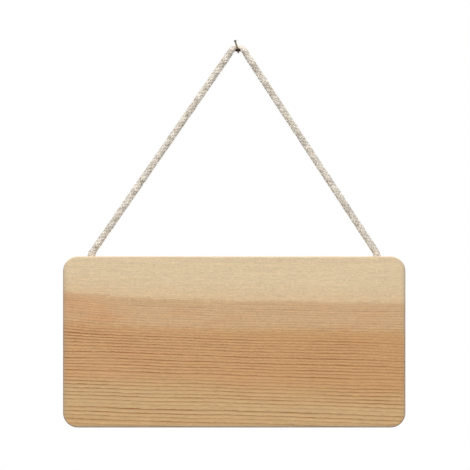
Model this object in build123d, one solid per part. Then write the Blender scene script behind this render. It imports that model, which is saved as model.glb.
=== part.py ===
"""A blank wooden plaque that hangs by a braided cotton rope from one bent nail.

The row frame has its origin on the nail's axis where it enters the wall. The wall is the
plane Y = 0, the plaque's face looks along -Y, X is to the right and Z is up. Millimetres.
"""

from build123d import *
import math
import os

# Board: one plank, its back flat on the wall plane.
BOARD_WIDTH = 300.0
BOARD_HEIGHT = 150.0
BOARD_THICKNESS = 15.0
BOARD_CORNER_RADIUS = 13.0
BOARD_EDGE_RADIUS = 1.2
BOARD_OFFSET = -3.1  # the board's centre from the middle of the rope's bight, along X

# Rope: its two ends are glued and pinned into holes drilled down from the top edge.
ROPE_RADIUS = 3.0
ROPE_HOLE_SPACING = 251.0
ROPE_HOLE_RADIUS = 3.5
ROPE_HOLE_DEPTH = 32.0
ROPE_HOLE_CHAMFER = 0.5
DRILL_POINT_ANGLE = 118.0
ROPE_END_LENGTH = 30.0
MOUTH_RISE = 2.2  # from the top edge to the corner of the route above each hole
MOUTH_BEND_RADIUS = 6.0
BIGHT_HEIGHT = 182.9  # from the top edge to the rope's centre over the nail
BIGHT_ASIDE = -0.5  # from the nail's axis to the middle of the bight, along X
BIGHT_WIDTH = 8.2  # between the route's two corners over the nail
BIGHT_BEND_RADIUS = 6.9
BIGHT_PRESSED = 0.9  # how far the nail has pressed the rope's underside in
ROPE_WALL_GAP = 0.3

# Whipping: twine wound round each end of the rope, inside its hole.
WHIPPING_LENGTH = 8.0
WHIPPING_RADIUS = 3.4

# Lock pins: short brads driven from the back through the rope's ends.
PIN_RADIUS = 0.6
PIN_LENGTH = 12.5
PIN_POINT_LENGTH = 1.2
PIN_HEAD_RADIUS = 1.3
PIN_HEAD_THICKNESS = 0.5
PIN_HEAD_SINK = 0.1
PIN_DEPTHS = {"upper": 8.0, "lower": 17.0}  # below the top edge

# Nail: driven square into the wall, then bent up in front of the rope as a hook.
NAIL_SHANK_RADIUS = 0.75
NAIL_WALL_RADIUS = 0.70
NAIL_WALL_LENGTH = 12.0
NAIL_TAPER_LENGTH = 0.8  # from the exposed shank down to the slimmer one, just off the wall
NAIL_POINT_LENGTH = 2.5
NAIL_TIP_RADIUS = 0.12
NAIL_STRAIGHT = 5.8  # from the wall plane to the bend
NAIL_BEND_RADIUS = 2.5
NAIL_BEND_ANGLE = 75.0
NAIL_UPRIGHT = 7.65  # from the bend to the underside of the head
NAIL_LEAN = 17.3  # the upright stretch leans to the left, from the vertical
NAIL_HEAD_RADIUS = 1.3
NAIL_HEAD_THICKNESS = 0.7
NAIL_ROPE_GAP = 0.05

SIDES = {"left": -1, "right": 1}


def bight_centre():
    """The rope's centre over the nail, where its pressed underside rests on the shank."""
    inside = BIGHT_BEND_RADIUS - ROPE_RADIUS + BIGHT_PRESSED
    reach = inside - NAIL_SHANK_RADIUS - NAIL_ROPE_GAP
    bend_centre_z = -math.sqrt(reach**2 - BIGHT_ASIDE**2)
    return Vector(BIGHT_ASIDE, -(ROPE_RADIUS + ROPE_WALL_GAP), bend_centre_z + BIGHT_BEND_RADIUS)


BIGHT = bight_centre()
BOARD_X = BIGHT.X + BOARD_OFFSET
BOARD_TOP = BIGHT.Z - BIGHT_HEIGHT
BOARD_MID_Y = -BOARD_THICKNESS / 2
BOARD_MID_Z = BOARD_TOP - BOARD_HEIGHT / 2


def hole_x(side):
    return BOARD_X + SIDES[side] * ROPE_HOLE_SPACING / 2


def upright(radius, top, length, x, y=BOARD_MID_Y):
    """A cylinder along Z that reaches down from its top."""
    return Pos(x, y, top - length / 2) * Cylinder(radius, length)


def make_rope_hole(side):
    """A blind drilled hole with a chamfered mouth and a drill point at the bottom."""
    point_length = ROPE_HOLE_RADIUS / math.tan(math.radians(DRILL_POINT_ANGLE / 2))
    bottom = BOARD_TOP - ROPE_HOLE_DEPTH
    hole = upright(ROPE_HOLE_RADIUS, BOARD_TOP, ROPE_HOLE_DEPTH, hole_x(side))
    point = Cone(0, ROPE_HOLE_RADIUS, point_length)
    mouth = Cone(ROPE_HOLE_RADIUS, ROPE_HOLE_RADIUS + ROPE_HOLE_CHAMFER, ROPE_HOLE_CHAMFER)
    hole += Pos(hole_x(side), BOARD_MID_Y, bottom - point_length / 2) * point
    hole += Pos(hole_x(side), BOARD_MID_Y, BOARD_TOP - ROPE_HOLE_CHAMFER / 2) * mouth
    return hole


def make_lock_pin(side, depth):
    """A headed brad along -Y from the back face, with a conical point."""
    head_back = -PIN_HEAD_SINK
    head_front = head_back - PIN_HEAD_THICKNESS
    shank_end = head_back - PIN_LENGTH + PIN_POINT_LENGTH
    lay = Rot(X=90)  # turns +Z to -Y
    head_mid = (head_back + head_front) / 2
    shank_mid = (head_front + shank_end) / 2
    pin = Pos(0, head_mid, 0) * lay * Cylinder(PIN_HEAD_RADIUS, PIN_HEAD_THICKNESS)
    pin += Pos(0, shank_mid, 0) * lay * Cylinder(PIN_RADIUS, head_front - shank_end)
    point = Cone(PIN_RADIUS, 0, PIN_POINT_LENGTH)
    pin += Pos(0, shank_end - PIN_POINT_LENGTH / 2, 0) * lay * point
    return Pos(hole_x(side), 0, BOARD_TOP - depth) * pin


def make_pin_recess(side, depth):
    """The shallow countersink that lets a pin's head sit just below the back face."""
    sink = PIN_HEAD_SINK + PIN_HEAD_THICKNESS
    recess = Rot(X=90) * Cylinder(PIN_HEAD_RADIUS, sink)
    return Pos(hole_x(side), -sink / 2, BOARD_TOP - depth) * recess


def make_board(pins):
    plank = Pos(BOARD_X, BOARD_MID_Y, BOARD_MID_Z) * Box(BOARD_WIDTH, BOARD_THICKNESS, BOARD_HEIGHT)
    plank = fillet(plank.edges().filter_by(Axis.Y), BOARD_CORNER_RADIUS)
    rims = plank.faces().filter_by(Axis.Y).edges()
    plank = fillet(rims, BOARD_EDGE_RADIUS)
    for side in SIDES:
        plank -= make_rope_hole(side)
        for depth in PIN_DEPTHS.values():
            plank -= make_pin_recess(side, depth)
    for pin in pins.values():
        plank -= pin
    return plank


def make_rope_end(side, pins):
    """The straight stretch of rope inside its hole, pierced by its pins."""
    end = upright(ROPE_RADIUS, BOARD_TOP, ROPE_END_LENGTH, hole_x(side))
    for pin in pins.values():
        end -= pin
    return end


def make_whipping(side):
    bottom = BOARD_TOP - ROPE_END_LENGTH
    sleeve = upright(WHIPPING_RADIUS, bottom + WHIPPING_LENGTH, WHIPPING_LENGTH, hole_x(side))
    return sleeve - upright(ROPE_RADIUS, bottom + WHIPPING_LENGTH, WHIPPING_LENGTH, hole_x(side))


def rope_route():
    """The hanging stretch of the rope, from the left hole's mouth to the right one's."""
    corner_z = BOARD_TOP + MOUTH_RISE
    return [
        Vector(hole_x("left"), BOARD_MID_Y, BOARD_TOP),
        Vector(hole_x("left"), BOARD_MID_Y, corner_z),
        Vector(BIGHT.X - BIGHT_WIDTH / 2, BIGHT.Y, BIGHT.Z),
        Vector(BIGHT.X + BIGHT_WIDTH / 2, BIGHT.Y, BIGHT.Z),
        Vector(hole_x("right"), BOARD_MID_Y, corner_z),
        Vector(hole_x("right"), BOARD_MID_Y, BOARD_TOP),
    ]


def make_hanging_rope():
    radii = [MOUTH_BEND_RADIUS, BIGHT_BEND_RADIUS, BIGHT_BEND_RADIUS, MOUTH_BEND_RADIUS]
    path = FilletPolyline(*rope_route(), radius=radii)
    section = Plane(origin=path @ 0, z_dir=path % 0) * Circle(ROPE_RADIUS)
    rope = sweep(section, path=path)
    expected = math.pi * ROPE_RADIUS**2 * path.length
    print("rope bend radii, mm:", radii)
    print(f"hanging rope length {path.length:.1f} mm, volume {rope.volume:.0f}, section x length {expected:.0f}")
    inside = BIGHT_BEND_RADIUS - ROPE_RADIUS + BIGHT_PRESSED
    pressed = Rot(X=90) * Cylinder(inside, 3 * ROPE_RADIUS)
    return rope - Pos(BIGHT.X, BIGHT.Y, BIGHT.Z - BIGHT_BEND_RADIUS) * pressed


def make_wall_nail():
    """A round nail: point, slimmer stretch in the wall, taper, shank with a bend, head."""
    start = Vector(0, -NAIL_TAPER_LENGTH, 0)
    lean = math.radians(NAIL_LEAN)
    straight = Line(start, (0, -NAIL_STRAIGHT, 0))
    across = (-math.cos(lean), 0, -math.sin(lean))
    bend_plane = Plane(origin=straight @ 1, x_dir=(0, -1, 0), z_dir=across)
    bend = bend_plane * CenterArc((0, NAIL_BEND_RADIUS), NAIL_BEND_RADIUS, -90, NAIL_BEND_ANGLE)
    upright = Line(bend @ 1, bend @ 1 + (bend % 1) * NAIL_UPRIGHT)
    shank = Curve() + [straight, bend, upright]
    section = Plane(origin=start, z_dir=(0, -1, 0)) * Circle(NAIL_SHANK_RADIUS)
    nail = sweep(section, path=shank)
    head_plane = Plane(origin=upright @ 1, z_dir=upright % 1)
    nail += head_plane * Pos(0, 0, NAIL_HEAD_THICKNESS / 2) * Cylinder(NAIL_HEAD_RADIUS, NAIL_HEAD_THICKNESS)
    into_wall = Rot(X=-90)  # turns +Z to +Y
    taper = Cone(NAIL_SHANK_RADIUS, NAIL_WALL_RADIUS, NAIL_TAPER_LENGTH)
    nail += Pos(0, -NAIL_TAPER_LENGTH / 2, 0) * into_wall * taper
    nail += Pos(0, NAIL_WALL_LENGTH / 2, 0) * into_wall * Cylinder(NAIL_WALL_RADIUS, NAIL_WALL_LENGTH)
    point = Cone(NAIL_WALL_RADIUS, NAIL_TIP_RADIUS, NAIL_POINT_LENGTH)
    return nail + Pos(0, NAIL_WALL_LENGTH + NAIL_POINT_LENGTH / 2, 0) * into_wall * point


def make_parts():
    """Every sub-part by its node name."""
    parts = {"wall_nail": make_wall_nail(), "hanging_rope": make_hanging_rope()}
    pins = {
        side: {level: make_lock_pin(side, depth) for level, depth in PIN_DEPTHS.items()}
        for side in SIDES
    }
    parts["board"] = make_board({(s, k): p for s in SIDES for k, p in pins[s].items()})
    for side in SIDES:
        parts[f"rope_end_{side}"] = make_rope_end(side, pins[side])
        parts[f"end_whipping_{side}"] = make_whipping(side)
        for level, pin in pins[side].items():
            parts[f"lock_pin_{side}_{level}"] = pin
    return parts


def print_places():
    """The places that the record states, in the row frame, in metres."""
    metres = {
        "back face centre": (BOARD_X, 0, BOARD_MID_Z),
        "bight bend centre": (BIGHT.X, BIGHT.Y, BIGHT.Z - BIGHT_BEND_RADIUS),
        "board hinge": (BOARD_X, BOARD_MID_Y, BOARD_TOP),
        "bight": (BIGHT.X, BIGHT.Y, BIGHT.Z),
    }
    for name, place in metres.items():
        print(name, [round(value / 1000, 6) for value in place])


os.makedirs("parts", exist_ok=True)
for node, shape in make_parts().items():
    export_step(shape, f"parts/{node}.step")
print_places()
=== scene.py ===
"""The looks of a blank pine plaque that hangs by a braided cotton rope from a bent nail.

Everything is in metres, in the row frame: the wall is the plane Y = 0, the plaque faces -Y,
X is to the right and Z is up.
"""

import math
import random

import bpy
import numpy as np
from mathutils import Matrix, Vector


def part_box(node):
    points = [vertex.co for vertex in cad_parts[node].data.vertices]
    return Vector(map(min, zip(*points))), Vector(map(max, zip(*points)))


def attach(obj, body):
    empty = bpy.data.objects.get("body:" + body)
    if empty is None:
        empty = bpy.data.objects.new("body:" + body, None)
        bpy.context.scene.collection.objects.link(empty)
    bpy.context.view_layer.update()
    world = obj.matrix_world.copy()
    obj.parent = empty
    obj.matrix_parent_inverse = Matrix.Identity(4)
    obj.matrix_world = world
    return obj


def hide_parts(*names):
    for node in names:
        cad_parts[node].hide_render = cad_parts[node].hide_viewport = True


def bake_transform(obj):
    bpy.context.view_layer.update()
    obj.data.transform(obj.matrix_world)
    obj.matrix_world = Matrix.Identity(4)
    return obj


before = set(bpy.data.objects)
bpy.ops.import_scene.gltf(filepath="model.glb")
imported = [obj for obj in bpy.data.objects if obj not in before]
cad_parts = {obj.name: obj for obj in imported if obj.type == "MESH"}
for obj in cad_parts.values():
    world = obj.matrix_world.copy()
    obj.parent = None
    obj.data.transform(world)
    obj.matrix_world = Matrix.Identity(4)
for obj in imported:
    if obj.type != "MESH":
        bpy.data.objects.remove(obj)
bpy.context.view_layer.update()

MM = 0.001

# Places in the frame.
BOARD_LOW, BOARD_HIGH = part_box("board")
BOARD_MID = (BOARD_LOW + BOARD_HIGH) / 2
SIDES = ("left", "right")


def middle(node):
    """The middle of a CAD node's box."""
    low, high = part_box(node)
    return (low + high) / 2


# ---------------------------------------------------------------------------------------
# Short calls that add shader nodes
# ---------------------------------------------------------------------------------------


def srgb(red, green, blue):
    """A linear colour, with alpha, from a display colour of 0 to 255."""
    levels = []
    for level in (red, green, blue):
        share = level / 255
        levels.append(share / 12.92 if share <= 0.04045 else ((share + 0.055) / 1.055) ** 2.4)
    return (*levels, 1.0)


class Field:
    """A number that varies over a surface. Arithmetic on it adds Math nodes."""

    def __init__(self, shader, socket):
        self.shader = shader
        self.socket = socket

    def math(self, operation, *others):
        return self.shader.math(operation, self, *others)

    def __add__(self, other):
        return self.math("ADD", other)

    def __sub__(self, other):
        return self.math("SUBTRACT", other)

    def __mul__(self, other):
        return self.math("MULTIPLY", other)

    def __truediv__(self, other):
        return self.math("DIVIDE", other)

    def __pow__(self, other):
        return self.math("POWER", other)

    def __abs__(self):
        return self.math("ABSOLUTE")

    def sqrt(self):
        return self.math("SQRT")

    def step(self, low, high, bottom=0.0, top=1.0):
        """A smooth step from bottom at low to top at high."""
        return self.shader.step(self, low, high, bottom, top)

    def mix(self, first, second):
        """first where this is 0, second where it is 1."""
        return self * second + (self * -1.0 + 1.0) * first


class Shader:
    """One procedural material, with the Principled shader as its surface."""

    def __init__(self, name):
        self.material = bpy.data.materials.new(name)
        self.material.use_nodes = True
        self.tree = self.material.node_tree
        self.surface = self.tree.nodes["Principled BSDF"]
        self.places = self.tree.nodes.new("ShaderNodeTexCoord")

    def put(self, socket, value):
        """Joins a socket to a field or to another socket, or sets its value."""
        if isinstance(value, Field):
            value = value.socket
        if isinstance(value, bpy.types.NodeSocket):
            self.tree.links.new(value, socket)
        else:
            socket.default_value = value

    def node(self, kind, inputs, **settings):
        """A new node, with its settings, and with fields or values on its inputs."""
        node = self.tree.nodes.new(kind)
        for name, value in settings.items():
            setattr(node, name, value)
        for name, value in inputs.items():
            self.put(node.inputs[name], value)
        return node

    def set(self, **inputs):
        """Sets the Principled shader's inputs, with _ for a space in their names."""
        for name, value in inputs.items():
            self.put(self.surface.inputs[name.replace("_", " ")], value)

    def math(self, operation, *values):
        """The field that a Math node makes of its values."""
        node = self.node("ShaderNodeMath", dict(enumerate(values)), operation=operation)
        return Field(self, node.outputs[0])

    def step(self, field, low, high, bottom=0.0, top=1.0):
        """A smooth step of a field, from bottom at low to top at high."""
        inputs = {"Value": field, "From Min": low, "From Max": high, "To Min": bottom, "To Max": top}
        node = self.node("ShaderNodeMapRange", inputs, interpolation_type="SMOOTHSTEP")
        return Field(self, node.outputs["Result"])

    def split(self, socket):
        """The three parts of a vector, as fields."""
        node = self.node("ShaderNodeSeparateXYZ", {"Vector": socket})
        return [Field(self, output) for output in node.outputs]

    def join(self, x, y, z):
        """One vector of three fields or values."""
        node = self.node("ShaderNodeCombineXYZ", {"X": x, "Y": y, "Z": z})
        return node.outputs[0]

    def place(self):
        """The point's place in the row frame, as three fields."""
        return self.split(self.places.outputs["Object"])

    def facing(self):
        """The surface's direction in the row frame, as three fields."""
        return self.split(self.places.outputs["Normal"])

    def attribute(self, name):
        """The node that reads one of the mesh's attributes."""
        return self.node("ShaderNodeAttribute", {}, attribute_name=name)

    def noise(self, place, detail=2.0, roughness=0.5, scale=1.0):
        """Smooth noise round 0, mostly between -0.5 and 0.5."""
        inputs = {"Vector": place, "Scale": scale, "Detail": detail, "Roughness": roughness}
        node = self.node("ShaderNodeTexNoise", inputs)
        return Field(self, node.outputs["Fac"]) - 0.5

    def speckle(self, number):
        """A random number from 0 to 1 for each value of a field."""
        node = self.node("ShaderNodeTexWhiteNoise", {"W": number}, noise_dimensions="1D")
        return Field(self, node.outputs["Value"])

    def ramp(self, field, stops):
        """A colour from stops of (place, colour), blended between them."""
        node = self.node("ShaderNodeValToRGB", {"Fac": field})
        band = node.color_ramp
        while len(band.elements) < len(stops):
            band.elements.new(1.0)
        for element, (place, colour) in zip(band.elements, sorted(stops)):
            element.position = place
            element.color = colour
        return node.outputs["Color"]

    def blend(self, share, first, second, how="MIX"):
        """Two colours mixed by a share of the second."""
        # Counting from 0, a Mix node's colours go in at 6 and 7 and come out at 2.
        inputs = {0: share, 6: first, 7: second}
        return self.node("ShaderNodeMix", inputs, data_type="RGBA", blend_type=how).outputs[2]

    def bump(self, height, distance, strength=1.0):
        """Raises the surface by height, where 1 is as much as the distance."""
        node = self.node("ShaderNodeBump", {"Height": height, "Distance": distance, "Strength": strength})
        self.put(self.surface.inputs["Normal"], node.outputs[0])


def dress(piece, shader):
    """Gives a piece or a CAD node one material all over."""
    piece.data.materials.clear()
    piece.data.materials.append(shader.material)


# ---------------------------------------------------------------------------------------
# Pine
# ---------------------------------------------------------------------------------------

FACE_HEIGHT = (BOARD_HIGH.z - BOARD_LOW.z) / MM
HALF_WIDTH = (BOARD_HIGH.x - BOARD_LOW.x) / 2 / MM

# Growth rings, in millimetres: circles round a pith that lies below and behind the board.
PITH_BELOW = 80.0
PITH_BEHIND = 35.0
RING_RATE = 0.25  # rings per millimetre at the bottom edge
RING_CROWDING = 0.0011  # how fast they crowd together towards the bark, per millimetre
LOWER_SLOPE = -0.031  # the lower rings run down to the right
UPPER_LIFT = 2.3  # the upper ones turn up at the left
UPPER_LIFT_REACH = 95.0
SLOW_WAVE = 3.3  # how far the rings wander up and down
QUICK_WAVE = 0.75

# The noises in the wood, as their changes per millimetre along the grain and across it.
SLOW = (0.011, 0.022)
QUICK = (0.045, 0.07)
DASHES = (0.11, 0.95)
STREAKS = (0.02, 0.5)
SPECKS = (0.42, 1.15)
FIBRES = (0.3, 3.4)
FINE_GRAIN = (0.8, 11.0)
FLECKS = (0.16, 1.6)
PORES = (0.35, 5.5)
HUES = (0.06, 0.35)
LINE_PATCHES = (0.018, 0.05)
BLUSHES = (0.014, 0.04)
CROWDING_CHANGES = 0.13  # per millimetre of growth

# Where each feature sets in or fades out, as two heights of growth in millimetres.
SAPWOOD_HEIGHT = 111.0
SLOPE_TO_LIFT = (60.0, 110.0)
DARKER_LINES = (54.0, 62.0)
FAINTER_LINES = (68.0, 90.0)
SAPWOOD_LINES = (SAPWOOD_HEIGHT - 6.0, SAPWOOD_HEIGHT + 3.0)
LEFT_LINES = (66.0, 76.0)
LEFT_LINES_END = (80.0, 94.0)
ROUGHER_GRAIN = (50.0, 64.0)
RUDDY_START = (20.0, 45.0)
RUDDY_END = (104.0, 114.0)
RUDDY_LEFT_START = (84.0, 96.0)
RIPE_START = (14.0, 36.0)
RIPE_END = (80.0, 95.0)

# And as two places along the board, from its middle.
LEFT_END = (-148.0, -80.0)
TOWARDS_RIGHT = (-120.0, 120.0)

SAPWOOD = srgb(216, 193, 157)
SAPWOOD_EDGE = srgb(213, 185, 146)
UPPER_HEARTWOOD = srgb(203, 168, 127)
MIDDLE_HEARTWOOD = srgb(200, 157, 110)
LOWER_HEARTWOOD = srgb(201, 167, 121)
BOTTOM_HEARTWOOD = srgb(200, 163, 115)
LATEWOOD = srgb(138, 86, 44)
RUDDY = srgb(208, 148, 102)
RIPE = srgb(196, 151, 100)
# The darker colour of end grain, also used for painted shade on downward-facing surfaces.
END_GRAIN_AND_UNDERSIDE_SHADE = srgb(160, 120, 78)
# Painted highlight for the upward-facing arrises.
PAINTED_RIM_HIGHLIGHT = srgb(224, 213, 194)
# Painted shade for the side and lower arrises and the face beside them.
PAINTED_EDGE_SHADE = srgb(148, 142, 132)

# The colour of the wood at heights of growth in millimetres.
ZONES = (
    (0.0, BOTTOM_HEARTWOOD),
    (15.0, LOWER_HEARTWOOD),
    (31.5, LOWER_HEARTWOOD),
    (43.5, MIDDLE_HEARTWOOD),
    (83.25, MIDDLE_HEARTWOOD),
    (88.5, UPPER_HEARTWOOD),
    (SAPWOOD_HEIGHT - 1.5, UPPER_HEARTWOOD),
    (SAPWOOD_HEIGHT + 1.5, SAPWOOD_EDGE),
    (129.0, SAPWOOD),
)


class Pine(Shader):
    """Softwood seen along its grain. The fields of its places are in millimetres.

    across is from the board's middle, height from its bottom edge, depth from its face, and
    grown is how far out in the tree a point is, counted as a height on the face.
    """

    def __init__(self):
        super().__init__("pine")
        x, y, z = self.place()
        self.across = (x - BOARD_MID.x) / MM
        self.height = (z - BOARD_LOW.z) / MM
        self.depth = (y - BOARD_LOW.y) / MM
        self.dash = self.along_grain(DASHES, 2.0, 0.65)
        self.streak = self.along_grain(STREAKS, 3.0, 0.6)
        self.grown = self.growth()
        self.left_end = self.across.step(*LEFT_END, 1.0, 0.0)

    def along_grain(self, changes, detail=1.0, roughness=0.5):
        """Noise drawn out along the board."""
        along, aside = changes
        place = self.join(self.across * along, self.height * aside, self.depth * aside)
        return self.noise(place, detail, roughness)

    def along_rings(self, changes):
        """Noise drawn out along the rings."""
        along, aside = changes
        return self.noise(self.join(self.across * along, self.grown * aside, self.depth * aside))

    def growth(self):
        """The rings' course: round the pith, then sloping, lifting and waving along the board."""
        below = self.height + PITH_BELOW
        behind = self.depth - PITH_BEHIND
        out = (below * below + behind * behind - PITH_BEHIND**2).sqrt() - PITH_BELOW
        lift = (self.math("EXPONENT", self.across / -UPPER_LIFT_REACH) - 1.0) * UPPER_LIFT
        drift = out.step(*SLOPE_TO_LIFT).mix(self.across * LOWER_SLOPE, lift)
        waves = self.along_grain(SLOW) * SLOW_WAVE + self.along_grain(QUICK) * QUICK_WAVE
        return out - drift + waves + self.dash

    def rings(self):
        """Each ring's dark line of latewood, and a number of each ring's own.

        A ring darkens slowly to its line and starts again pale.
        """
        grown = self.grown
        crowd = self.noise(self.join(grown * CROWDING_CHANGES, 0.0, 0.0), detail=1.0)
        phase = grown * RING_RATE + grown * grown * RING_CROWDING + crowd * 0.7
        ring = self.math("FRACT", phase)
        line = ring**4.0 * ring.step(0.94, 1.0, 1.0, 0.0)
        own = self.speckle(self.math("FLOOR", phase))
        clear = grown.step(*DARKER_LINES, 1.0, 1.4) * grown.step(*FAINTER_LINES, 1.0, 0.4)
        clear = clear * grown.step(*SAPWOOD_LINES, 1.0, 0.15)
        clear = clear * (self.along_rings(LINE_PATCHES) * 1.6 + 1.0)
        left = self.left_end * grown.step(*LEFT_LINES) * grown.step(*LEFT_LINES_END, 0.8, 0.0)
        return line * (own * 0.9 + 0.48) * clear * (left + 1.0), own

    def zones(self):
        """The colour between the lines: by height, ruddier in places, riper to the right."""
        grown = self.grown
        feathered = grown + self.streak * 4.0 + self.dash * 3.0
        stops = [(height / FACE_HEIGHT, colour) for height, colour in ZONES]
        colour = self.ramp(feathered / FACE_HEIGHT, stops)
        blush = self.along_rings(BLUSHES).step(0.0, 0.3)
        ruddy = blush * 0.5 + self.left_end * grown.step(*RUDDY_LEFT_START) * 0.35
        ruddy = ruddy * grown.step(*RUDDY_START) * grown.step(*RUDDY_END, 1.0, 0.0)
        colour = self.blend(ruddy, colour, RUDDY)
        ripe = self.across.step(*TOWARDS_RIGHT) * grown.step(*RIPE_START)
        return self.blend(ripe * grown.step(*RIPE_END, 0.6, 0.0), colour, RIPE)

    def end_grain_and_painted_edges(self, colour):
        """The colour with end grain on the ends, and with light and shade painted on the edges.

        The ends show end grain, which drinks in dirt. A painted highlight pales the upper arrises;
        painted shade greys the side and lower arrises, the face for a few millimetres beside the
        ends and above the bottom edge, and the downward-facing surfaces.
        """
        side_facing, face_facing, up_facing = self.facing()
        end = abs(side_facing).step(0.55, 0.95)
        colour = self.blend(end * 0.35, colour, END_GRAIN_AND_UNDERSIDE_SHADE, "MULTIPLY")
        arris = abs(face_facing) * (face_facing * face_facing * -1.0 + 1.0).sqrt() * 2.0
        # Painted highlight: the upward-facing arrises are paled as if they catch the light.
        colour = self.blend(arris * up_facing.step(0.0, 0.4) * 0.3, colour, PAINTED_RIM_HIGHLIGHT)
        # Painted shade on the side arrises, and more on the lower ones.
        colour = self.blend(arris * up_facing.step(-0.3, 0.3, 0.5, 0.0), colour, PAINTED_EDGE_SHADE)
        # Painted shade on the face beside the ends and along the bottom edge.
        beside_ends = abs(self.across).step(HALF_WIDTH - 4.5, HALF_WIDTH - 0.5, 0.0, 0.28)
        face_edge_shade = beside_ends + self.height.step(0.5, 3.5, 0.4, 0.0)
        colour = self.blend(face_edge_shade, colour, PAINTED_EDGE_SHADE)
        # Painted shade on the downward-facing surfaces, in the end grain's colour.
        return self.blend(up_facing.step(-0.6, -0.1, 0.5, 0.0), colour, END_GRAIN_AND_UNDERSIDE_SHADE, "MULTIPLY")


def pine():
    """The board's wood: rings, fibres, flecks and pores, with pale sapwood along the top."""
    wood = Pine()
    late, own = wood.rings()
    speck = wood.along_grain(SPECKS, 2.0, 0.6)
    fibre = wood.along_grain(FIBRES, 4.0, 0.7)
    grain = wood.along_grain(FINE_GRAIN, 3.0, 0.7)
    fleck = wood.along_grain(FLECKS).step(0.13, 0.26)
    pore = wood.along_grain(PORES).step(0.2, 0.3)
    rough = wood.grown.step(*ROUGHER_GRAIN, 0.15, 0.5)
    tone = wood.streak * 0.24 + wood.dash * 0.42 + speck * rough + fibre * 0.26 + grain * 0.14
    tone = tone + own * 0.05 + 1.005 - fleck * 0.12 - pore * 0.16
    hue = wood.along_grain(HUES, 2.0) * 0.07
    colour = wood.blend(late * 0.95, wood.zones(), LATEWOOD)
    colour = wood.blend(1.0, colour, wood.join(tone + hue, tone, tone - hue), "MULTIPLY")
    wood.set(Base_Color=wood.end_grain_and_painted_edges(colour), Specular_IOR_Level=0.32)
    wood.set(Roughness=late * -0.12 + wood.dash * 0.12 + 0.66)
    relief = late * 0.6 + wood.dash * 0.6 + speck * 0.4 + fibre + grain * 0.4
    wood.bump(relief - fleck * 0.5 - pore * 0.8, 0.12 * MM, 0.6)
    return wood


# ---------------------------------------------------------------------------------------
# Cotton and twine
# ---------------------------------------------------------------------------------------

COTTON_CREST = srgb(233, 225, 213)
# Painted shade for the gaps between the cotton's yarns.
COTTON_CREVICE_SHADE = srgb(160, 146, 125)
# Rust, with painted shadow, where the rope sits on the nail.
COTTON_RUST_AND_SHADOW = srgb(70, 44, 14)
TWINE_CREST = srgb(226, 214, 192)
# Painted shade for the gaps between the twine's turns.
TWINE_CREVICE_SHADE = srgb(150, 134, 108)


def cotton(name, crest, shade_colour, fibre_turns):
    """Spun yarn: fibres run along each yarn, and shade is painted in the gaps between yarns.

    It reads the four attributes that rope_marks gives a mesh. fibre_turns is how fast the
    fibres twist round the yarn.
    """
    yarn = Shader(name)
    along, side, up = yarn.split(yarn.attribute("lay").outputs["Vector"])
    rest = yarn.attribute("rest").outputs["Vector"]
    crevice_shade = Field(yarn, yarn.attribute("crevice_shade").outputs["Fac"])
    rust_and_shadow = Field(yarn, yarn.attribute("rust_and_shadow").outputs["Fac"])
    turn = along * fibre_turns
    fibres = yarn.join(turn * 0.55, side * 5.0 + turn, up * 5.0)
    hair = yarn.noise(fibres, detail=3.0, roughness=0.65)
    lump = yarn.noise(rest, scale=0.24, detail=2.0)
    tint = yarn.noise(rest, scale=0.1, detail=1.0)
    # Painted shade between the yarns, mixed with the yarns' own uneven tone.
    shade = yarn.math("MAXIMUM", crevice_shade * 0.55 + hair * 0.25 - lump * 0.9 + 0.03, 0.0)
    colour = yarn.ramp(shade, [(0.0, crest), (0.8, shade_colour), (1.0, shade_colour)])
    tone = hair * 0.1 + lump * 0.5 + tint * 0.3 + 0.95
    colour = yarn.blend(1.0, colour, yarn.join(tone, tone, tone - tint * 0.08), "MULTIPLY")
    # Rust from the nail, with painted shadow where the nail's bend shades the rope.
    colour = yarn.blend((rust_and_shadow + hair * 0.4).step(0.1, 0.6), colour, COTTON_RUST_AND_SHADOW)
    yarn.set(Base_Color=colour, Roughness=0.92, Specular_IOR_Level=0.15, Sheen_Weight=0.25)
    yarn.bump(hair + lump * 0.5, 0.16 * MM, 0.8)
    return yarn


# ---------------------------------------------------------------------------------------
# Steel
# ---------------------------------------------------------------------------------------

STEEL = srgb(178, 180, 184)
STEEL_STAIN = srgb(112, 110, 106)
NAIL_OLIVE = srgb(160, 148, 112)
NAIL_BROWN = srgb(112, 88, 56)
# Rust and painted shade for the nail's bend.
NAIL_RUST_AND_SHADE = srgb(66, 42, 18)
NAIL_HEAD = srgb(104, 104, 96)

PATCHES = 420.0  # changes of the noises per metre
DRAWN_GRAIN = 3200.0
RUST_AND_SHADE_HEIGHTS = (1.4, 3.6)  # the rust and painted shade fade out between these, in millimetres above the axis
HEAD_HEIGHTS = (8.0, 8.5)


def scuffs(metal):
    """Patches and fine grain on drawn wire, as two noises."""
    place = metal.places.outputs["Object"]
    patch = metal.noise(place, detail=4.0, roughness=0.62, scale=PATCHES)
    grain = metal.noise(place, detail=2.0, scale=DRAWN_GRAIN)
    metal.bump(patch + grain * 0.6, 0.06 * MM, 0.7)
    return patch, grain


def bright_steel():
    """The lock pins: bright drawn wire, stained in patches."""
    metal = Shader("bright_steel")
    patch, grain = scuffs(metal)
    share = (patch + grain * 0.2).step(-0.15, 0.2)
    metal.set(Base_Color=metal.blend(share, STEEL, STEEL_STAIN), Metallic=0.95)
    metal.set(Roughness=share * 0.25 + grain * 0.1 + 0.34)
    return metal


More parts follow.
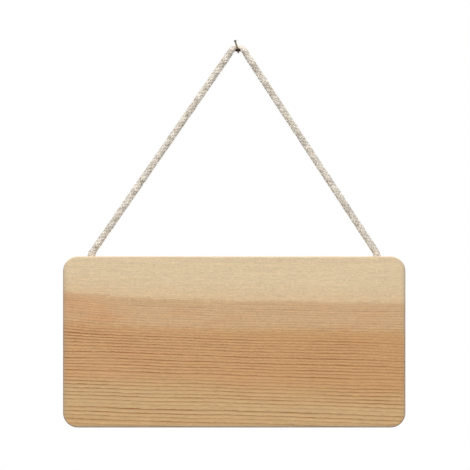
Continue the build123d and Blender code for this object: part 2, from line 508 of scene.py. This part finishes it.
def browned_steel():
    """The wall nail: olive brown, dark in its bend with rust and painted shade, with a grey hammered
    head.
    """
    metal = Shader("browned_steel")
    patch, grain = scuffs(metal)
    height = metal.place()[2] / MM
    share = (patch + grain * 0.2).step(-0.1, 0.3)
    colour = metal.blend(share, NAIL_OLIVE, NAIL_BROWN)
    # Rust with painted shade, low on the nail round its bend.
    rust_and_shade = (height + patch * 2.0).step(*RUST_AND_SHADE_HEIGHTS, 1.0, 0.0)
    colour = metal.blend(rust_and_shade, colour, NAIL_RUST_AND_SHADE)
    colour = metal.blend(height.step(*HEAD_HEIGHTS), colour, NAIL_HEAD)
    metal.set(Base_Color=colour, Metallic=0.35)
    metal.set(Roughness=share * 0.2 + rust_and_shade * 0.15 + grain * 0.1 + 0.5)
    return metal


# ---------------------------------------------------------------------------------------
# Meshes
# ---------------------------------------------------------------------------------------


def tube_faces(rings, sides, first=0):
    """The faces of a tube: quads between its rings of points, and a cap on each end."""
    faces = []
    for ring in range(rings - 1):
        start = first + ring * sides
        for side in range(sides):
            corner = start + side
            beside = start + (side + 1) % sides
            faces.append((corner, corner + sides, beside + sides, beside))
    last = first + (rings - 1) * sides
    faces.append(tuple(range(first, first + sides)))
    faces.append(tuple(range(last + sides - 1, last - 1, -1)))
    return faces


def mesh_piece(name, points, faces, marks):
    """A smooth-shaded mesh object. marks holds vector or number attributes of its points."""
    mesh = bpy.data.meshes.new(name)
    mesh.from_pydata(points.tolist(), [], faces)
    for mark, values in marks.items():
        kind, key = ("FLOAT_VECTOR", "vector") if values.ndim == 2 else ("FLOAT", "value")
        attribute = mesh.attributes.new(mark, kind, "POINT")
        attribute.data.foreach_set(key, values.astype(np.float32).ravel())
    mesh.shade_smooth()
    piece = bpy.data.objects.new(name, mesh)
    bpy.context.scene.collection.objects.link(piece)
    return piece


def unit(vectors):
    """The vectors, each made 1 long."""
    return vectors / np.linalg.norm(vectors, axis=-1, keepdims=True)


def distances(line):
    """How far along a line each of its points is."""
    steps = np.linalg.norm(np.diff(line, axis=0), axis=1)
    return np.concatenate([[0.0], np.cumsum(steps)])


def strand(centres, outward, wide, thick, sides):
    """A strand's rings of points, with their place in the strand drawn out straight.

    centres is the strand's line, outward the direction away from what it is wound on.
    """
    forward = unit(np.gradient(centres, axis=0))
    sideways = unit(np.cross(forward, outward))
    upward = np.cross(sideways, forward)
    turns = 2 * math.pi * np.arange(sides) / sides
    spread = np.cos(turns) * wide / 2
    rise = np.sin(turns) * thick / 2
    points = centres[:, None] + sideways[:, None] * spread[:, None] + upward[:, None] * rise[:, None]
    lay = np.stack(np.broadcast_arrays(distances(centres)[:, None], spread, rise), axis=-1)
    return points.reshape(-1, 3), lay.reshape(-1, 3) / MM


# ---------------------------------------------------------------------------------------
# The rope
# ---------------------------------------------------------------------------------------

ROPE_RADIUS = 3.0 * MM
END_DEPTH = 29.0 * MM  # how far down its hole each end of the route is
MOUTH_RISE = 2.2 * MM  # where the route turns, above the mouth of the hole
MOUTH_LEAD = 6.0 * MM  # the points on each side of that turn
BIGHT = Vector((-0.0005, -0.0033, 0.002931))  # the top of the bend over the nail
BIGHT_HALF_WIDTH = 4.1 * MM
BIGHT_LEADS = (36.0 * MM, 8.2 * MM)  # the points on each leg before the bend
BIGHT_BEND_CENTRE_DROP = 6.9 * MM
BIGHT_INNER_RADIUS = 4.8 * MM  # the nail has pressed the rope's underside in to here

YARNS_EACH_WAY = 8  # they run in pairs, over one pair and under the next
BRAID_PITCH = 28.0 * MM
BRAID_RADIUS = 3.12 * MM
BRAID_STEP = 0.62 * MM
YARN_WIDTH = 2.0 * MM
YARN_THICKNESS = 1.3 * MM
YARN_WEAVE = 0.46 * MM  # how far a yarn moves in and out
YARN_SIDES = 6
YARN_SHADE_DEPTH = 1.0 * MM  # how far down between the yarns the painted shade is darkest
CORE_RADIUS = 1.75 * MM
CORE_SIDES = 10
CORE_STEPS = 3  # braid steps to each ring of the core
MOUTH_SWELL = 0.33 * MM  # where the rope bears on the mouth of its hole
MOUTH_SWELL_RISE = 1.2 * MM
MOUTH_SWELL_REACH = 3.2 * MM

# Unevenness, as its length along the rope and its amount.
UNEVEN_THICKNESS = (13.0 * MM, 0.16 * MM)
UNEVEN_ANGLE = (31.0 * MM, 0.06)
UNEVEN_YARN = (9.0 * MM, 0.07 * MM)

RUST_SHADOW_PLACE = (-0.3 * MM, 0.6 * MM)  # X and Z of the mark that the nail has left: rust, with painted shadow
RUST_SHADOW_REACH = (2.3 * MM, 1.9 * MM)


def rope_route():
    """The route's points, from the bottom of the left hole over the nail to the right one's."""
    far_lead, near_lead = BIGHT_LEADS
    halves = {}
    for side, sign in (("left", -1), ("right", 1)):
        mouth = middle(f"rope_end_{side}")
        mouth.z = BOARD_HIGH.z
        corner = mouth + Vector((0, 0, MOUTH_RISE))
        crook = BIGHT + Vector((sign * BIGHT_HALF_WIDTH, 0, 0))
        leg = (crook - corner).normalized()
        halves[side] = [
            mouth - Vector((0, 0, END_DEPTH)),
            corner - Vector((0, 0, MOUTH_LEAD)),
            corner,
            corner + leg * MOUTH_LEAD,
            crook - leg * far_lead,
            crook - leg * near_lead,
            crook,
        ]
    return halves["left"] + halves["right"][::-1]


def spline_points(route, step):
    """Points a step apart along the smooth line of a NURBS spline, and how far along each is."""
    curve = bpy.data.curves.new("rope_route", "CURVE")
    curve.dimensions = "3D"
    curve.resolution_u = 32
    spline = curve.splines.new("NURBS")
    spline.points.add(len(route) - 1)
    for point, place in zip(spline.points, route):
        point.co = (*place, 1.0)
    spline.order_u = 3
    spline.use_endpoint_u = True
    holder = bpy.data.objects.new("rope_route", curve)
    line = bpy.data.meshes.new_from_object(holder)
    points = np.array([vertex.co for vertex in line.vertices])
    bpy.data.meshes.remove(line)
    bpy.data.objects.remove(holder)
    bpy.data.curves.remove(curve)
    reach = distances(points)
    stations = np.linspace(0.0, reach[-1], round(reach[-1] / step) + 1)
    spaced = [np.interp(stations, reach, points[:, axis]) for axis in range(3)]
    return np.stack(spaced, axis=1), stations


def across_frame(line):
    """Two directions across a line that stays near the plane of X and Z."""
    forward = unit(np.gradient(line, axis=0))
    towards_wall = np.array([0.0, 1.0, 0.0])
    first = unit(towards_wall - forward * (forward @ towards_wall)[:, None])
    return first, np.cross(forward, first)


def wobble(stations, rng, length, amount):
    """A gentle random drift along a line: the mean of three waves of about that length."""
    speeds = [rng.uniform(0.6, 1.6) for _ in range(3)]
    starts = [rng.uniform(0, 2 * math.pi) for _ in range(3)]
    turns = 2 * math.pi * stations / length
    waves = [np.sin(turns * speed + start) for speed, start in zip(speeds, starts)]
    return sum(waves) / 3 * amount


def press_in(points):
    """Moves the underside of the bight out to where the nail has pressed it."""
    aside = points[:, 0] - BIGHT.x
    above = points[:, 2] - (BIGHT.z - BIGHT_BEND_CENTRE_DROP)
    away = np.hypot(aside, above)
    near = away < BIGHT_INNER_RADIUS
    push = BIGHT_INNER_RADIUS / away[near]
    points[near, 0] = BIGHT.x + aside[near] * push
    points[near, 2] = BIGHT.z - BIGHT_BEND_CENTRE_DROP + above[near] * push
    return points


def rope_marks(points, lay, crevice_shade):
    """The attributes that the cotton's shader reads.

    They are each point's place at rest and its "lay", which is its place in its own yarn
    drawn out straight, both in millimetres, how far down between the yarns it lies, which the
    shader paints as shade, and how much rust and painted shadow from the nail it has, both
    from 0 to 1.
    """
    # A mark of rust and painted shadow round the nail's bend.
    aside = (points[:, 0] - RUST_SHADOW_PLACE[0]) / RUST_SHADOW_REACH[0]
    above = (points[:, 2] - RUST_SHADOW_PLACE[1]) / RUST_SHADOW_REACH[1]
    rust_and_shadow = np.clip(2.0 - 1.5 * np.hypot(aside, above), 0, 1)
    return {"lay": lay, "crevice_shade": crevice_shade, "rest": points / MM, "rust_and_shadow": rust_and_shadow}


def yarn_centres(line, stations, swell, direction, number, rng):
    """One yarn's line, and the directions away from the rope's own line."""
    first, second = across_frame(line)
    start = 2 * math.pi * number / YARNS_EACH_WAY
    angle = start + direction * 2 * math.pi * stations / BRAID_PITCH
    angle = angle + wobble(stations, rng, *UNEVEN_ANGLE)
    own_side = math.pi / 4 * (1 + 2 * (number % 2))
    over = direction * np.cos(YARNS_EACH_WAY / 2 * angle - own_side)
    radius = BRAID_RADIUS - YARN_THICKNESS / 2 - YARN_WEAVE + YARN_WEAVE * over
    radius = radius + swell + wobble(stations, rng, *UNEVEN_YARN)
    outward = first * np.cos(angle)[:, None] + second * np.sin(angle)[:, None]
    return line + outward * radius[:, None], outward


def make_rope():
    """A round braid of paired yarns over a soft core, and the line that it follows."""
    line, stations = spline_points(rope_route(), BRAID_STEP)
    rng = random.Random(7)
    from_mouth = line[:, 2] - BOARD_HIGH.z - MOUTH_SWELL_RISE
    swell = MOUTH_SWELL * np.exp(-((from_mouth / MOUTH_SWELL_REACH) ** 2))
    swell = swell + wobble(stations, rng, *UNEVEN_THICKNESS)
    points, faces, lays, crevice_shades = [], [], [], []
    for direction in (1, -1):
        for number in range(YARNS_EACH_WAY):
            centres, outward = yarn_centres(line, stations, swell, direction, number, rng)
            ring, lay = strand(centres, outward, YARN_WIDTH, YARN_THICKNESS, YARN_SIDES)
            away = np.linalg.norm(ring - np.repeat(line, YARN_SIDES, axis=0), axis=1)
            faces += tube_faces(len(line), YARN_SIDES, sum(map(len, points)))
            points.append(ring)
            lays.append(lay)
            # Painted shade: darker the further the point lies inside the braid.
            crevice_shades.append(np.clip((BRAID_RADIUS - away) / YARN_SHADE_DEPTH, 0, 1))
    core_line = line[::CORE_STEPS]
    outward = across_frame(line)[0][::CORE_STEPS]
    core, core_lay = strand(core_line, outward, 2 * CORE_RADIUS, 2 * CORE_RADIUS, CORE_SIDES)
    faces += tube_faces(len(core_line), CORE_SIDES, sum(map(len, points)))
    points = press_in(np.concatenate([*points, core]))
    lays = np.concatenate([*lays, core_lay])
    # The core is painted in full shade.
    crevice_shades = np.concatenate([*crevice_shades, np.ones(len(core))])
    return mesh_piece("braided_rope", points, faces, rope_marks(points, lays, crevice_shades)), line


# ---------------------------------------------------------------------------------------
# Loose fibres on the rope
# ---------------------------------------------------------------------------------------

FUZZ_FIBRES = 6500
FUZZ_LENGTHS = (1.0 * MM, 2.9 * MM)
FUZZ_START = 0.25 * MM  # how far under the rope's surface a fibre starts
FUZZ_CLEARANCE = 1.5 * MM  # how far above the board they begin
FUZZ_PULL = 0.25  # how strongly a fibre curls back to the rope

LINT_FIBRES = 900
LINT_LENGTHS = (0.8 * MM, 1.9 * MM)
LINT_REACH = 1.9 * MM  # how far to each side of the middle of the nail's rust and painted shadow mark the lint starts
LINT_DEPTH = 0.9 * ROPE_RADIUS  # and how far in front of the rope's middle
LINT_HEIGHT = 1.1 * MM  # above the rope's underside

FIBRE_RADIUS = 0.032 * MM
FIBRE_TAPER = 0.7  # the share of its radius that it has lost at its tip
FIBRE_BENDS = 3
FIBRE_SIDES = 3
# How much painted shade the loose fibres get, the same all over.
FIBRE_CREVICE_SHADE = 0.25
ASKEW = (0.31, 0.87, 0.39)  # a direction that no fibre follows


def fibre(rng, place, heading, length, pull):
    """The rings of points of one curling fibre. pull bends it back as it goes."""
    corner = 2 * math.pi * np.arange(FIBRE_SIDES) / FIBRE_SIDES
    curl = rng.normal(0, 0.5, 3) - pull
    rings = []
    for bend in range(FIBRE_BENDS + 1):
        side = unit(np.cross(heading, ASKEW))
        up = np.cross(side, heading)
        radius = FIBRE_RADIUS * (1 - FIBRE_TAPER * bend / FIBRE_BENDS)
        ring = np.outer(np.cos(corner), side) + np.outer(np.sin(corner), up)
        rings.append(place + radius * ring)
        place = place + heading * length / FIBRE_BENDS
        heading = unit(heading + curl + rng.normal(0, 0.25, 3))
    return np.concatenate(rings)


def fuzz_fibre(rng, line, first, second, hanging):
    """A fibre that stands off the rope somewhere on its hanging stretch."""
    at = rng.choice(hanging)
    angle = rng.uniform(0, 2 * math.pi)
    out = first[at] * math.cos(angle) + second[at] * math.sin(angle)
    heading = unit(out * rng.uniform(0.25, 0.9) + rng.normal(0, 0.55, 3))
    place = line[at] + out * (ROPE_RADIUS - FUZZ_START)
    return fibre(rng, place, heading, rng.uniform(*FUZZ_LENGTHS), out * FUZZ_PULL)


def lint_fibre(rng):
    """A rubbed fibre that hangs out from under the rope where it sits on the nail."""
    aside = rng.uniform(-LINT_REACH, LINT_REACH)
    depth = rng.uniform(-LINT_DEPTH, 0)
    height = BIGHT.z - ROPE_RADIUS + LINT_HEIGHT
    place = np.array([RUST_SHADOW_PLACE[0] + aside, BIGHT.y + depth, height])
    heading = unit(np.array([-aside / LINT_REACH * 0.6, 0, -0.7]) + rng.normal(0, 0.6, 3))
    return fibre(rng, place, heading, rng.uniform(*LINT_LENGTHS), np.zeros(3))


def make_fuzz(line):
    """All the loose fibres of the rope, as one piece."""
    first, second = across_frame(line)
    hanging = np.flatnonzero(line[:, 2] > BOARD_HIGH.z + FUZZ_CLEARANCE)
    rng = np.random.default_rng(11)
    fuzz = [fuzz_fibre(rng, line, first, second, hanging) for _ in range(FUZZ_FIBRES)]
    lint = [lint_fibre(rng) for _ in range(LINT_FIBRES)]
    points = np.concatenate([press_in(np.concatenate(fuzz)), *lint])
    faces = []
    for start in range(0, len(points), len(lint[0])):
        faces += tube_faces(FIBRE_BENDS + 1, FIBRE_SIDES, start)
    marks = rope_marks(points, points / MM, np.full(len(points), FIBRE_CREVICE_SHADE))
    return mesh_piece("rope_fuzz", points, faces, marks)


# ---------------------------------------------------------------------------------------
# The whippings
# ---------------------------------------------------------------------------------------

TWINE_RADIUS = 0.2 * MM
TWINE_SIDES = 6
TURN_HEIGHT = 0.42 * MM
STEPS_EACH_TURN = 22


def make_whipping(side):
    """Twine wound closely round the rope's end."""
    low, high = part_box(f"end_whipping_{side}")
    centre = (low + high) / 2
    outer = (high.x - low.x) / 2
    length = high.z - low.z - 2 * TWINE_RADIUS
    turns = length / TURN_HEIGHT
    angle = np.linspace(0, 2 * math.pi * turns, round(turns * STEPS_EACH_TURN))
    outward = np.stack([np.cos(angle), np.sin(angle), 0 * angle], axis=1)
    centres = outward * (outer - TWINE_RADIUS)
    centres[:, 2] = np.linspace(-length / 2, length / 2, len(angle))
    centres += np.array(centre)
    points, lay = strand(centres, outward, 2 * TWINE_RADIUS, 2 * TWINE_RADIUS, TWINE_SIDES)
    faces = tube_faces(len(centres), TWINE_SIDES)
    # Painted shade on the inner side of each turn, towards the rope.
    away = np.hypot(points[:, 0] - centre.x, points[:, 1] - centre.y)
    crevice_shade = np.clip((outer - away) / (2 * TWINE_RADIUS), 0, 1)
    return mesh_piece(f"twine_whipping_{side}", points, faces, rope_marks(points, lay, crevice_shade))


# ---------------------------------------------------------------------------------------
# Putting the object together
# ---------------------------------------------------------------------------------------

dress(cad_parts["board"], pine())
dress(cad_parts["wall_nail"], browned_steel())
bright = bright_steel()
for side in SIDES:
    for level in ("upper", "lower"):
        dress(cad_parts[f"lock_pin_{side}_{level}"], bright)

rope, rope_line = make_rope()
fuzz = make_fuzz(rope_line)
for piece in (rope, fuzz):
    dress(piece, cotton(piece.name, COTTON_CREST, COTTON_CREVICE_SHADE, 1.0))
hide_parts("hanging_rope", "rope_end_left", "rope_end_right")

twine = cotton("whipping_twine", TWINE_CREST, TWINE_CREVICE_SHADE, 2.0)
for side in SIDES:
    whipping = make_whipping(side)
    dress(whipping, twine)
    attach(whipping, "plaque")
    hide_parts(f"end_whipping_{side}")

for piece in (rope, fuzz):
    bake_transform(piece)

# ---------------------------------------------------------------------------------------
# Floor, light and camera
# ---------------------------------------------------------------------------------------

FLOOR_DROP = 0.25  # below the plaque's bottom edge
FLOOR_RADIUS = 1.4
FLOOR_SIDES = 96
PAPER = (srgb(238, 238, 238), srgb(246, 246, 246))
SURROUND_LIGHT = 0.22  # the white surround as a light, where 1 is as bright as it looks

# Each lamp's name, place, width and power in watts.
LAMPS = (
    ("key_light", (-0.35, -0.95, 1.9), 0.7, 57.0),
    ("fill_light", (0.9, -1.6, 0.2), 1.2, 4.0),
    ("back_light", (0.4, 1.3, 0.9), 1.0, 18.0),
)

LENS = 250.0  # millimetres, on a sensor of 36
SENSOR = 36.0
FARTHEST_SEEN = 20.0
IMAGE_SIDE = 470
PIXELS_PER_METRE = 1141.7  # on the plaque's face
VIEW_ASIDE = 0.7 * MM  # the middle of the view from the plaque's centre line
VIEW_ABOVE = 18.7 * MM  # and above its top edge


def make_floor():
    """A pale round studio floor, some way below the plaque."""
    mesh = bpy.data.meshes.new("studio_floor")
    turns = [2 * math.pi * corner / FLOOR_SIDES for corner in range(FLOOR_SIDES)]
    level = BOARD_LOW.z - FLOOR_DROP
    rim = [(FLOOR_RADIUS * math.cos(t), FLOOR_RADIUS * math.sin(t), level) for t in turns]
    mesh.from_pydata(rim, [], [list(range(FLOOR_SIDES))])
    floor = bpy.data.objects.new("studio_floor", mesh)
    bpy.context.scene.collection.objects.link(floor)
    paper = Shader("studio_paper")
    x, y, _ = paper.place()
    cloud = paper.noise(paper.join(x * 2, y * 2, 0.0))
    duller, cleaner = PAPER
    paper.set(Base_Color=paper.ramp(cloud + 0.5, [(0.0, duller), (1.0, cleaner)]), Roughness=0.9)
    dress(floor, paper)


def make_world():
    """A white surround: plain white to the eye, dimmer as a light."""
    world = bpy.data.worlds.new("studio")
    bpy.context.scene.world = world
    world.use_nodes = True
    tree = world.node_tree
    backdrop = tree.nodes["Background"]
    backdrop.inputs["Color"].default_value = (1.0, 1.0, 1.0, 1.0)
    seen = tree.nodes.new("ShaderNodeLightPath")
    strength = tree.nodes.new("ShaderNodeMapRange")
    strength.inputs["To Min"].default_value = SURROUND_LIGHT
    strength.inputs["To Max"].default_value = 1.0
    tree.links.new(seen.outputs["Is Camera Ray"], strength.inputs["Value"])
    tree.links.new(strength.outputs["Result"], backdrop.inputs["Strength"])


def aim(thing, target):
    """Turns a lamp or a camera to look at a point."""
    towards = Vector(target) - thing.location
    thing.rotation_euler = towards.to_track_quat("-Z", "Y").to_euler()


def soft_box(name, place, size, power):
    """A square studio lamp that faces the plaque."""
    lamp = bpy.data.lights.new(name, "AREA")
    lamp.shape = "SQUARE"
    lamp.size = size
    lamp.energy = power
    holder = bpy.data.objects.new(name, lamp)
    holder.location = place
    holder.visible_camera = False
    bpy.context.scene.collection.objects.link(holder)
    aim(holder, (BOARD_MID.x, BOARD_MID.y, BOARD_HIGH.z))


def make_camera():
    """Straight in front of the plaque, at the height of the view's middle."""
    camera = bpy.data.objects.new("camera", bpy.data.cameras.new("camera"))
    camera.data.lens = LENS
    camera.data.sensor_width = SENSOR
    camera.data.clip_end = FARTHEST_SEEN
    view_middle = Vector((BOARD_MID.x + VIEW_ASIDE, BOARD_LOW.y, BOARD_HIGH.z + VIEW_ABOVE))
    distance = LENS / SENSOR * IMAGE_SIDE / PIXELS_PER_METRE
    camera.location = view_middle - Vector((0, distance, 0))
    bpy.context.scene.collection.objects.link(camera)
    aim(camera, view_middle)
    bpy.context.scene.camera = camera


make_floor()
make_world()
for lamp in LAMPS:
    soft_box(*lamp)
make_camera()
bpy.context.scene.view_settings.view_transform = "Standard"
